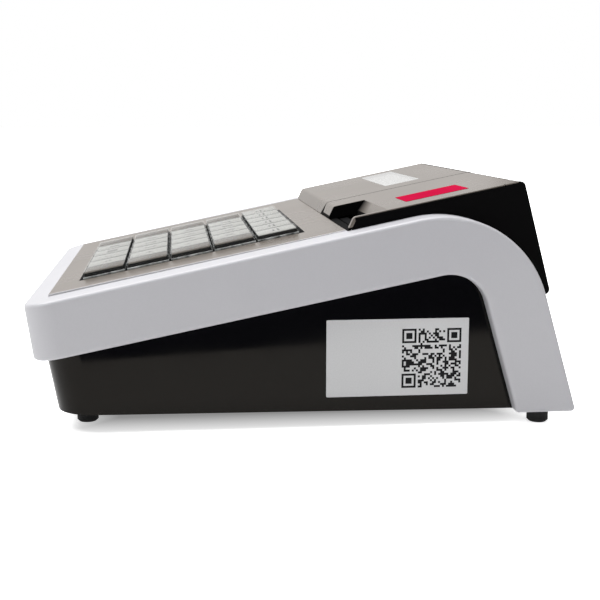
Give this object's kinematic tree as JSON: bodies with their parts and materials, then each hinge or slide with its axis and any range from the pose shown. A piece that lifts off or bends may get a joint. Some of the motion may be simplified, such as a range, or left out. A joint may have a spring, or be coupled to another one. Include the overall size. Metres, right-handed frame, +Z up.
{
  "type": "cash register",
  "caption": "Compact sloping cash register with clear-capped keys, hinged paper lid, receipt mouth and two displays, on rear legs.",
  "frame": {"origin": "middle of the footprint, on the plane that the rubber feet stand on", "axes": "+X operator's right, +Y rear, away from the operator, +Z up"},
  "size_m": [0.236, 0.2625, 0.1176],
  "materials": {
    "white_plastic": "satin moulded plastic",
    "black_gloss": "glossy black plastic",
    "taupe_paint": "taupe metallic paint on plastic",
    "dark_plastic": "matte black plastic",
    "circuit_board": "green circuit board",
    "window_pane": "pale display window",
    "steel": "plain steel",
    "aluminium": "plain aluminium",
    "black_rubber": "black rubber",
    "white_nylon": "natural nylon",
    "receipt_paper": "thermal paper",
    "key_plastic": "clear cap over a label insert"
  },
  "bodies": {
    "base": {"side_frame": "white_plastic", "lower_case": "black_gloss", "key_plate": "taupe_paint", "key_guide": "dark_plastic", "key_board": "circuit_board", "rear_housing": "black_gloss", "display_cover": "taupe_paint", "display_window": "window_pane", "display_module": "dark_plastic", "customer_window": "window_pane", "customer_module": "dark_plastic", "cover_hinge_pin": "steel", "feed_motor": "steel", "printer_frame": "dark_plastic", "thermal_head": "aluminium", "tear_bar": "steel", "paper_tray": "dark_plastic", "main_board": "circuit_board", "dc_socket": "dark_plastic", "drawer_socket": "dark_plastic", "serial_socket": "dark_plastic", "usb_socket": "dark_plastic", "rubber_feet": "black_rubber", "case_screws": "steel"},
    "lid": {"paper_cover": "taupe_paint"},
    "feed_roller": {"platen_roller": "black_rubber"},
    "pinion": {"motor_pinion": "white_nylon"},
    "roll": {"paper_roll": "receipt_paper"},
    "key_1_1": {"key_r1_c1": "key_plastic"},
    "key_1_2": {"key_r1_c2": "key_plastic"},
    "key_1_3": {"key_r1_c3": "key_plastic"},
    "key_1_4": {"key_r1_c4": "key_plastic"},
    "key_1_5": {"key_r1_c5": "key_plastic"},
    "key_1_6": {"key_r1_c6": "key_plastic"},
    "key_2_1": {"key_r2_c1": "key_plastic"},
    "key_2_2": {"key_r2_c2": "key_plastic"},
    "key_2_3": {"key_r2_c3": "key_plastic"},
    "key_2_4": {"key_r2_c4": "key_plastic"},
    "key_2_5": {"key_r2_c5": "key_plastic"},
    "key_2_6": {"key_r2_c6": "key_plastic"},
    "key_3_1": {"key_r3_c1": "key_plastic"},
    "key_3_2": {"key_r3_c2": "key_plastic"},
    "key_3_3": {"key_r3_c3": "key_plastic"},
    "key_3_4": {"key_r3_c4": "key_plastic"},
    "key_3_5": {"key_r3_c5": "key_plastic"},
    "key_3_6": {"key_r3_c6": "key_plastic"},
    "key_4_1": {"key_r4_c1": "key_plastic"},
    "key_4_2": {"key_r4_c2": "key_plastic"},
    "key_4_3": {"key_r4_c3": "key_plastic"},
    "key_4_4": {"key_r4_c4": "key_plastic"},
    "key_4_5": {"key_r4_c5": "key_plastic"},
    "key_4_6": {"key_r4_c6": "key_plastic"},
    "key_5_1": {"key_r5_c1": "key_plastic"},
    "key_5_2": {"key_r5_c2": "key_plastic"},
    "key_5_3": {"key_r5_c3": "key_plastic"},
    "key_5_4": {"key_r5_c4": "key_plastic"},
    "key_5_5": {"key_r5_c5": "key_plastic"},
    "key_5_6": {"key_r5_c6": "key_plastic"}
  },
  "joints": [
    {"name": "lid_hinge", "type": "hinge", "parent": "base", "child": "lid", "pos_m": [0.057, 0.10431, 0.11448], "axis": [-1, 0, 0], "range_deg": [0, 105]},
    {"name": "roller_spin", "type": "hinge", "parent": "lid", "child": "feed_roller", "pos_m": [0.07, 0.03942, 0.08891], "axis": [1, 0, 0], "continuous": true},
    {"name": "pinion_spin", "type": "hinge", "parent": "base", "child": "pinion", "pos_m": [0.036, 0.04573, 0.08129], "axis": [1, 0, 0], "continuous": true},
    {"name": "roll_spin", "type": "hinge", "parent": "base", "child": "roll", "pos_m": [0.0704, 0.07731, 0.07937], "axis": [1, 0, 0], "continuous": true},
    {"name": "key_press_r1_c1", "type": "slide", "parent": "base", "child": "key_1_1", "axis": [0, 0.2011, -0.9796], "range_m": [0, 0.003], "stiffness_N_per_m": 180, "springref_m": -0.002},
    {"name": "key_press_r1_c2", "type": "slide", "parent": "base", "child": "key_1_2", "axis": [0, 0.2011, -0.9796], "range_m": [0, 0.003], "stiffness_N_per_m": 180, "springref_m": -0.002},
    {"name": "key_press_r1_c3", "type": "slide", "parent": "base", "child": "key_1_3", "axis": [0, 0.2011, -0.9796], "range_m": [0, 0.003], "stiffness_N_per_m": 180, "springref_m": -0.002},
    {"name": "key_press_r1_c4", "type": "slide", "parent": "base", "child": "key_1_4", "axis": [0, 0.2011, -0.9796], "range_m": [0, 0.003], "stiffness_N_per_m": 180, "springref_m": -0.002},
    {"name": "key_press_r1_c5", "type": "slide", "parent": "base", "child": "key_1_5", "axis": [0, 0.2011, -0.9796], "range_m": [0, 0.003], "stiffness_N_per_m": 180, "springref_m": -0.002},
    {"name": "key_press_r1_c6", "type": "slide", "parent": "base", "child": "key_1_6", "axis": [0, 0.2011, -0.9796], "range_m": [0, 0.003], "stiffness_N_per_m": 180, "springref_m": -0.002},
    {"name": "key_press_r2_c1", "type": "slide", "parent": "base", "child": "key_2_1", "axis": [0, 0.2011, -0.9796], "range_m": [0, 0.003], "stiffness_N_per_m": 180, "springref_m": -0.002},
    {"name": "key_press_r2_c2", "type": "slide", "parent": "base", "child": "key_2_2", "axis": [0, 0.2011, -0.9796], "range_m": [0, 0.003], "stiffness_N_per_m": 180, "springref_m": -0.002},
    {"name": "key_press_r2_c3", "type": "slide", "parent": "base", "child": "key_2_3", "axis": [0, 0.2011, -0.9796], "range_m": [0, 0.003], "stiffness_N_per_m": 180, "springref_m": -0.002},
    {"name": "key_press_r2_c4", "type": "slide", "parent": "base", "child": "key_2_4", "axis": [0, 0.2011, -0.9796], "range_m": [0, 0.003], "stiffness_N_per_m": 180, "springref_m": -0.002},
    {"name": "key_press_r2_c5", "type": "slide", "parent": "base", "child": "key_2_5", "axis": [0, 0.2011, -0.9796], "range_m": [0, 0.003], "stiffness_N_per_m": 180, "springref_m": -0.002},
    {"name": "key_press_r2_c6", "type": "slide", "parent": "base", "child": "key_2_6", "axis": [0, 0.2011, -0.9796], "range_m": [0, 0.003], "stiffness_N_per_m": 180, "springref_m": -0.002},
    {"name": "key_press_r3_c1", "type": "slide", "parent": "base", "child": "key_3_1", "axis": [0, 0.2011, -0.9796], "range_m": [0, 0.003], "stiffness_N_per_m": 180, "springref_m": -0.002},
    {"name": "key_press_r3_c2", "type": "slide", "parent": "base", "child": "key_3_2", "axis": [0, 0.2011, -0.9796], "range_m": [0, 0.003], "stiffness_N_per_m": 180, "springref_m": -0.002},
    {"name": "key_press_r3_c3", "type": "slide", "parent": "base", "child": "key_3_3", "axis": [0, 0.2011, -0.9796], "range_m": [0, 0.003], "stiffness_N_per_m": 180, "springref_m": -0.002},
    {"name": "key_press_r3_c4", "type": "slide", "parent": "base", "child": "key_3_4", "axis": [0, 0.2011, -0.9796], "range_m": [0, 0.003], "stiffness_N_per_m": 180, "springref_m": -0.002},
    {"name": "key_press_r3_c5", "type": "slide", "parent": "base", "child": "key_3_5", "axis": [0, 0.2011, -0.9796], "range_m": [0, 0.003], "stiffness_N_per_m": 180, "springref_m": -0.002},
    {"name": "key_press_r3_c6", "type": "slide", "parent": "base", "child": "key_3_6", "axis": [0, 0.2011, -0.9796], "range_m": [0, 0.003], "stiffness_N_per_m": 180, "springref_m": -0.002},
    {"name": "key_press_r4_c1", "type": "slide", "parent": "base", "child": "key_4_1", "axis": [0, 0.2011, -0.9796], "range_m": [0, 0.003], "stiffness_N_per_m": 180, "springref_m": -0.002},
    {"name": "key_press_r4_c2", "type": "slide", "parent": "base", "child": "key_4_2", "axis": [0, 0.2011, -0.9796], "range_m": [0, 0.003], "stiffness_N_per_m": 180, "springref_m": -0.002},
    {"name": "key_press_r4_c3", "type": "slide", "parent": "base", "child": "key_4_3", "axis": [0, 0.2011, -0.9796], "range_m": [0, 0.003], "stiffness_N_per_m": 180, "springref_m": -0.002},
    {"name": "key_press_r4_c4", "type": "slide", "parent": "base", "child": "key_4_4", "axis": [0, 0.2011, -0.9796], "range_m": [0, 0.003], "stiffness_N_per_m": 180, "springref_m": -0.002},
    {"name": "key_press_r4_c5", "type": "slide", "parent": "base", "child": "key_4_5", "axis": [0, 0.2011, -0.9796], "range_m": [0, 0.003], "stiffness_N_per_m": 180, "springref_m": -0.002},
    {"name": "key_press_r4_c6", "type": "slide", "parent": "base", "child": "key_4_6", "axis": [0, 0.2011, -0.9796], "range_m": [0, 0.003], "stiffness_N_per_m": 180, "springref_m": -0.002},
    {"name": "key_press_r5_c1", "type": "slide", "parent": "base", "child": "key_5_1", "axis": [0, 0.2011, -0.9796], "range_m": [0, 0.003], "stiffness_N_per_m": 180, "springref_m": -0.002},
    {"name": "key_press_r5_c2", "type": "slide", "parent": "base", "child": "key_5_2", "axis": [0, 0.2011, -0.9796], "range_m": [0, 0.003], "stiffness_N_per_m": 180, "springref_m": -0.002},
    {"name": "key_press_r5_c3", "type": "slide", "parent": "base", "child": "key_5_3", "axis": [0, 0.2011, -0.9796], "range_m": [0, 0.003], "stiffness_N_per_m": 180, "springref_m": -0.002},
    {"name": "key_press_r5_c4", "type": "slide", "parent": "base", "child": "key_5_4", "axis": [0, 0.2011, -0.9796], "range_m": [0, 0.003], "stiffness_N_per_m": 180, "springref_m": -0.002},
    {"name": "key_press_r5_c5", "type": "slide", "parent": "base", "child": "key_5_5", "axis": [0, 0.2011, -0.9796], "range_m": [0, 0.003], "stiffness_N_per_m": 180, "springref_m": -0.002},
    {"name": "key_press_r5_c6", "type": "slide", "parent": "base", "child": "key_5_6", "axis": [0, 0.2011, -0.9796], "range_m": [0, 0.003], "stiffness_N_per_m": 180, "springref_m": -0.002}
  ],
  "couplings": [
    {"joint": "pinion_spin", "follows": "roller_spin", "ratio": -1.6667}
  ]
}
